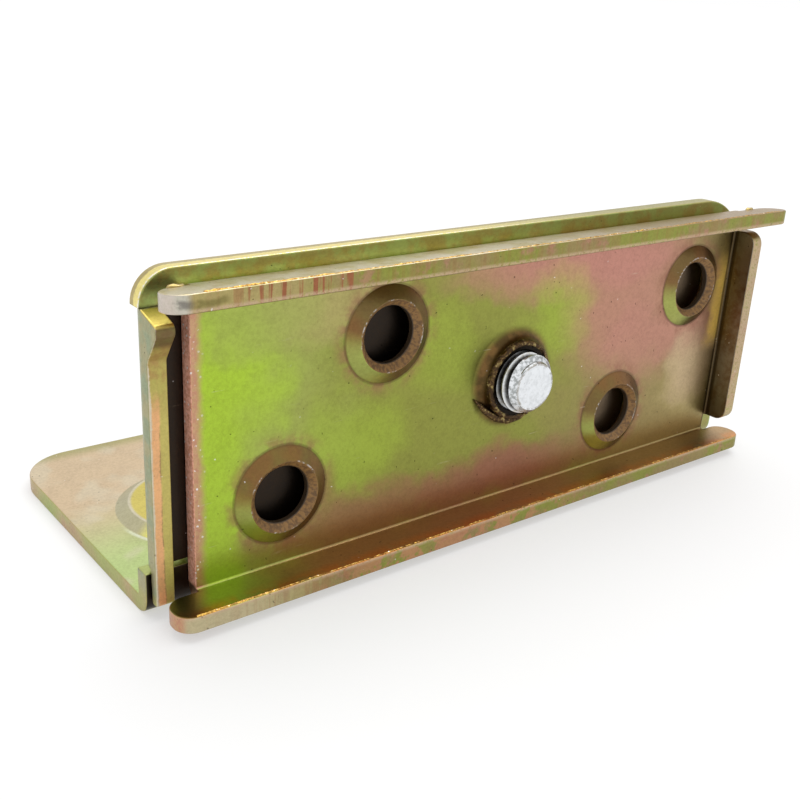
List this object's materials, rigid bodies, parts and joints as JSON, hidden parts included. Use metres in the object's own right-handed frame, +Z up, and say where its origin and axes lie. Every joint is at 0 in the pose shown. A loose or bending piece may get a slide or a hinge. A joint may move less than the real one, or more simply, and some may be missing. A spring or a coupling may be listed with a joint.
{
  "type": "bed rail fastener",
  "caption": "Pressed sheet-steel bed rail fastener: a flanged post plate with dimpled screw holes is drawn by a bolt against a hooked angle bracket that carries the rail.",
  "frame": {"origin": "middle of the floor plan, on the surface that the fastener stands on", "axes": "+X along the plate towards its end flange, +Y from the post towards the rail, +Z up from the ledge"},
  "size_m": [0.1004, 0.0498, 0.0395],
  "materials": {
    "yellow_zinc": "yellow passivated zinc, satin, with green and rose tints",
    "bright_steel": "bright zinc"
  },
  "bodies": {
    "rail_bracket": {"rail_bracket": "yellow_zinc"},
    "bolt": {"bolt": "bright_steel"},
    "post_plate": {"post_plate": "yellow_zinc"}
  },
  "joints": [
    {"name": "bolt_turn", "type": "hinge", "parent": "rail_bracket", "child": "bolt", "pos_m": [0.00055, -0.0178, 0.01995], "axis": [0, 1, 0], "range_deg": [0, 1440]},
    {"name": "plate_travel", "type": "slide", "parent": "rail_bracket", "child": "post_plate", "axis": [0, -1, 0], "range_m": [0, 0.005]}
  ],
  "couplings": [
    {"joint": "bolt_turn", "follows": "plate_travel", "rad_per_m": 5026.5}
  ]
}
